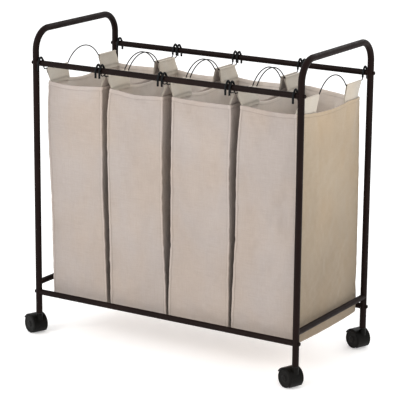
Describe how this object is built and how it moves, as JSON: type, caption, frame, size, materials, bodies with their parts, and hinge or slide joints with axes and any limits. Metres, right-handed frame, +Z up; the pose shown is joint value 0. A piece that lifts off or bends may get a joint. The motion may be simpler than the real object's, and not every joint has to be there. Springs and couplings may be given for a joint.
{
  "type": "laundry sorter",
  "caption": "Rolling laundry sorter: a tubular steel frame with end handles, lift-off cloth bags hung side by side on wires, and swivel casters.",
  "frame": {"origin": "on the floor, midway between the four caster swivel axes", "axes": "+X along the row of bags to the right as seen from the front, +Y to the rear, +Z up"},
  "size_m": [0.8647, 0.4288, 0.8472],
  "materials": {
    "bronze_coat": "semi-gloss dark bronze powder coat",
    "black_plastic": "matt moulded",
    "caster_plastic": "semi-gloss moulded black",
    "wheel_plastic": "satin moulded black",
    "sleeve_plastic": "semi-gloss black vinyl",
    "black_wire": "black coated wire",
    "zinc_steel": "bright zinc plated",
    "canvas": "natural beige woven cloth"
  },
  "bodies": {
    "frame": {"left_handle_tube": "bronze_coat", "right_handle_tube": "bronze_coat", "front_left_leg": "bronze_coat", "rear_left_leg": "bronze_coat", "front_right_leg": "bronze_coat", "rear_right_leg": "bronze_coat", "left_side_rail": "bronze_coat", "right_side_rail": "bronze_coat", "front_top_rail": "bronze_coat", "rear_top_rail": "bronze_coat", "front_bottom_rail": "bronze_coat", "rear_bottom_rail": "bronze_coat", "leg_joint_spigots": "zinc_steel", "upper_rail_bolts": "bronze_coat", "lower_rail_bolts": "bronze_coat", "rail_end_inserts": "zinc_steel", "caster_sockets": "black_plastic"},
    "front_left_caster": {"front_left_caster_hood": "caster_plastic", "front_left_caster_stem": "zinc_steel", "front_left_caster_axle": "zinc_steel"},
    "front_left_caster_wheel_a": {"front_left_caster_wheel_a": "wheel_plastic"},
    "front_left_caster_wheel_b": {"front_left_caster_wheel_b": "wheel_plastic"},
    "front_right_caster": {"front_right_caster_hood": "caster_plastic", "front_right_caster_stem": "zinc_steel", "front_right_caster_axle": "zinc_steel"},
    "front_right_caster_wheel_a": {"front_right_caster_wheel_a": "wheel_plastic"},
    "front_right_caster_wheel_b": {"front_right_caster_wheel_b": "wheel_plastic"},
    "rear_left_caster": {"rear_left_caster_hood": "caster_plastic", "rear_left_caster_stem": "zinc_steel", "rear_left_caster_axle": "zinc_steel"},
    "rear_left_caster_wheel_a": {"rear_left_caster_wheel_a": "wheel_plastic"},
    "rear_left_caster_wheel_b": {"rear_left_caster_wheel_b": "wheel_plastic"},
    "rear_right_caster": {"rear_right_caster_hood": "caster_plastic", "rear_right_caster_stem": "zinc_steel", "rear_right_caster_axle": "zinc_steel"},
    "rear_right_caster_wheel_a": {"rear_right_caster_wheel_a": "wheel_plastic"},
    "rear_right_caster_wheel_b": {"rear_right_caster_wheel_b": "wheel_plastic"},
    "bag_1_assembly": {"bag_1": "canvas", "bag_1_left_wire": "black_wire", "bag_1_right_wire": "black_wire", "bag_1_hook_sleeves": "sleeve_plastic"},
    "bag_2_assembly": {"bag_2": "canvas", "bag_2_left_wire": "black_wire", "bag_2_right_wire": "black_wire", "bag_2_hook_sleeves": "sleeve_plastic"},
    "bag_3_assembly": {"bag_3": "canvas", "bag_3_left_wire": "black_wire", "bag_3_right_wire": "black_wire", "bag_3_hook_sleeves": "sleeve_plastic"},
    "bag_4_assembly": {"bag_4": "canvas", "bag_4_left_wire": "black_wire", "bag_4_right_wire": "black_wire", "bag_4_hook_sleeves": "sleeve_plastic"}
  },
  "joints": [
    {"name": "front_left_caster_swivel", "type": "hinge", "parent": "frame", "child": "front_left_caster", "pos_m": [-0.4, -0.185, 0.06], "axis": [0, 0, 1], "continuous": true},
    {"name": "front_left_caster_wheel_a_roll", "type": "hinge", "parent": "front_left_caster", "child": "front_left_caster_wheel_a", "pos_m": [-0.41774, -0.17819, 0.025], "axis": [-0.3584, -0.9336, 0], "continuous": true},
    {"name": "front_left_caster_wheel_b_roll", "type": "hinge", "parent": "front_left_caster", "child": "front_left_caster_wheel_b", "pos_m": [-0.41774, -0.17819, 0.025], "axis": [-0.3584, -0.9336, 0], "continuous": true},
    {"name": "front_right_caster_swivel", "type": "hinge", "parent": "frame", "child": "front_right_caster", "pos_m": [0.4, -0.185, 0.06], "axis": [0, 0, 1], "continuous": true},
    {"name": "front_right_caster_wheel_a_roll", "type": "hinge", "parent": "front_right_caster", "child": "front_right_caster_wheel_a", "pos_m": [0.38226, -0.17819, 0.025], "axis": [-0.3584, -0.9336, 0], "continuous": true},
    {"name": "front_right_caster_wheel_b_roll", "type": "hinge", "parent": "front_right_caster", "child": "front_right_caster_wheel_b", "pos_m": [0.38226, -0.17819, 0.025], "axis": [-0.3584, -0.9336, 0], "continuous": true},
    {"name": "rear_left_caster_swivel", "type": "hinge", "parent": "frame", "child": "rear_left_caster", "pos_m": [-0.4, 0.185, 0.06], "axis": [0, 0, 1], "continuous": true},
    {"name": "rear_left_caster_wheel_a_roll", "type": "hinge", "parent": "rear_left_caster", "child": "rear_left_caster_wheel_a", "pos_m": [-0.41774, 0.19181, 0.025], "axis": [-0.3584, -0.9336, 0], "continuous": true},
    {"name": "rear_left_caster_wheel_b_roll", "type": "hinge", "parent": "rear_left_caster", "child": "rear_left_caster_wheel_b", "pos_m": [-0.41774, 0.19181, 0.025], "axis": [-0.3584, -0.9336, 0], "continuous": true},
    {"name": "rear_right_caster_swivel", "type": "hinge", "parent": "frame", "child": "rear_right_caster", "pos_m": [0.4, 0.185, 0.06], "axis": [0, 0, 1], "continuous": true},
    {"name": "rear_right_caster_wheel_a_roll", "type": "hinge", "parent": "rear_right_caster", "child": "rear_right_caster_wheel_a", "pos_m": [0.38226, 0.19181, 0.025], "axis": [-0.3584, -0.9336, 0], "continuous": true},
    {"name": "rear_right_caster_wheel_b_roll", "type": "hinge", "parent": "rear_right_caster", "child": "rear_right_caster_wheel_b", "pos_m": [0.38226, 0.19181, 0.025], "axis": [-0.3584, -0.9336, 0], "continuous": true},
    {"name": "bag_1_lift_off", "type": "slide", "parent": "frame", "child": "bag_1_assembly", "axis": [0, 0, 1], "range_m": [0, 0.67]},
    {"name": "bag_2_lift_off", "type": "slide", "parent": "frame", "child": "bag_2_assembly", "axis": [0, 0, 1], "range_m": [0, 0.67]},
    {"name": "bag_3_lift_off", "type": "slide", "parent": "frame", "child": "bag_3_assembly", "axis": [0, 0, 1], "range_m": [0, 0.67]},
    {"name": "bag_4_lift_off", "type": "slide", "parent": "frame", "child": "bag_4_assembly", "axis": [0, 0, 1], "range_m": [0, 0.67]}
  ]
}
